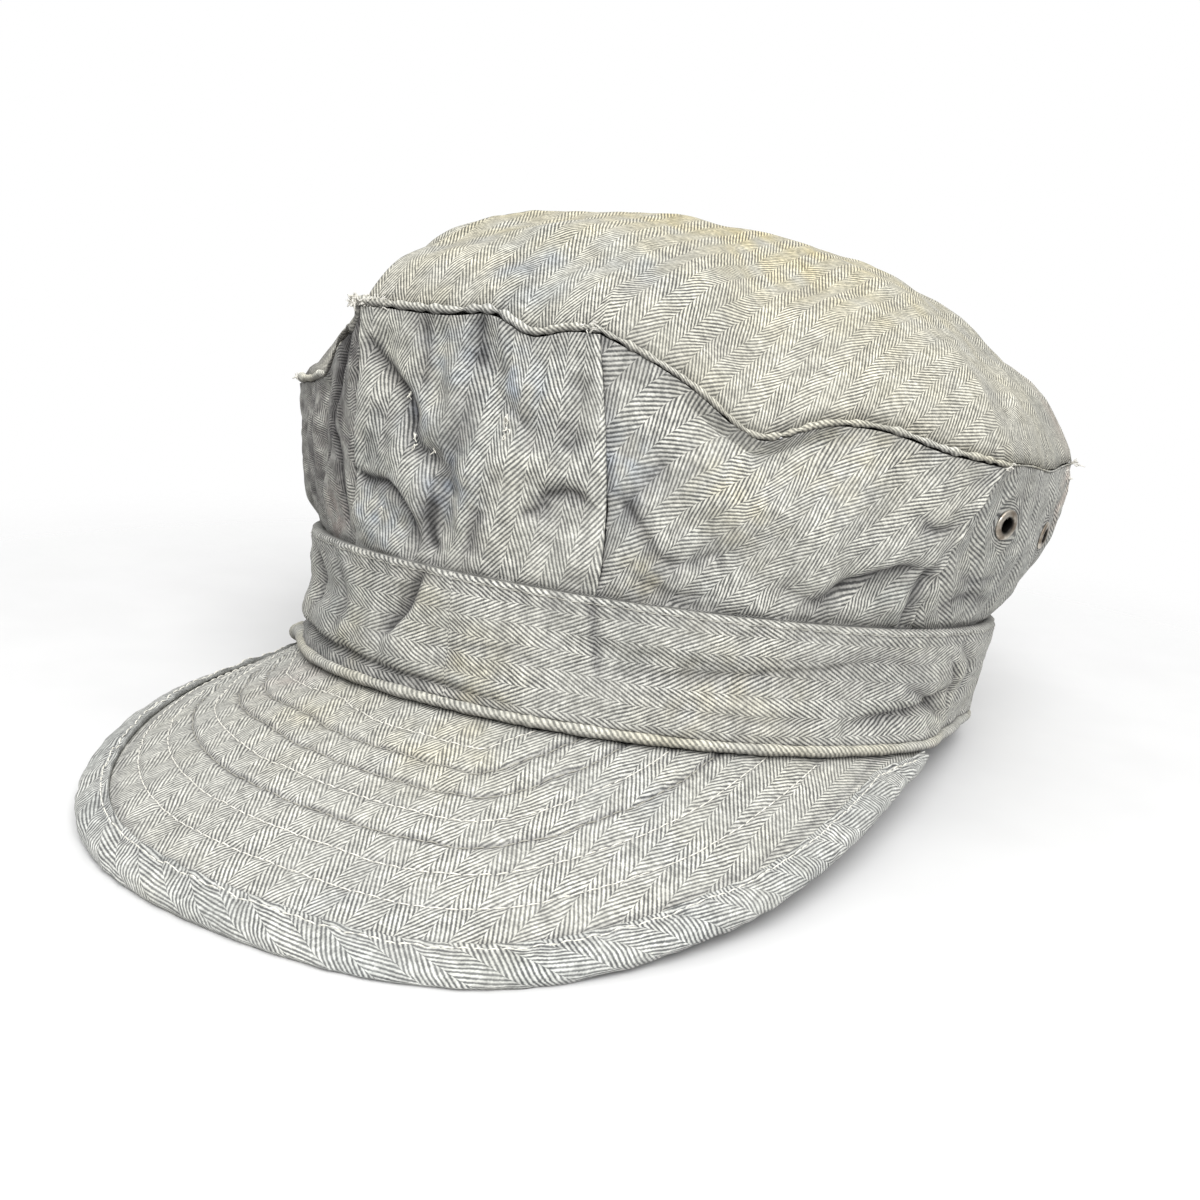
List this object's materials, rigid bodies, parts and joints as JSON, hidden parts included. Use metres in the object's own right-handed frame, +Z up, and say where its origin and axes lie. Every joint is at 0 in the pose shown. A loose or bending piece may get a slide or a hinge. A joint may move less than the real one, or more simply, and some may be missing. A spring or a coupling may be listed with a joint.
{
  "type": "field cap",
  "caption": "Worn soft cloth cap with a cornered, puffed crown, a plain band, a stitched downward-sloping peak with a bound edge and small vent eyelets.",
  "frame": {"origin": "on the surface that the cap rests on, under the middle of its bounding box", "axes": "+Z up, -Y out of the front of the peak, +X towards the wearer's left"},
  "size_m": [0.1968, 0.284, 0.1315],
  "materials": {
    "crown_cloth": "faded sage herringbone twill, worn and creased",
    "band_cloth": "faded sage herringbone twill, folded and pressed",
    "peak_cloth": "faded sage herringbone twill, quilted with rows of stitching",
    "eyelet_brass": "aged, dulled"
  },
  "bodies": {
    "root": {"crown_top": "crown_cloth", "crown_welt": "crown_cloth", "front_panel": "crown_cloth", "left_side_panel": "crown_cloth", "left_rear_panel": "crown_cloth", "left_back_panel": "crown_cloth", "back_panel": "crown_cloth", "right_back_panel": "crown_cloth", "right_rear_panel": "crown_cloth", "right_side_panel": "crown_cloth", "band": "band_cloth", "band_welt": "band_cloth", "peak": "peak_cloth", "peak_binding": "peak_cloth", "left_eyelet_1": "eyelet_brass", "left_eyelet_2": "eyelet_brass", "right_eyelet_1": "eyelet_brass", "right_eyelet_2": "eyelet_brass"}
  },
  "joints": []
}
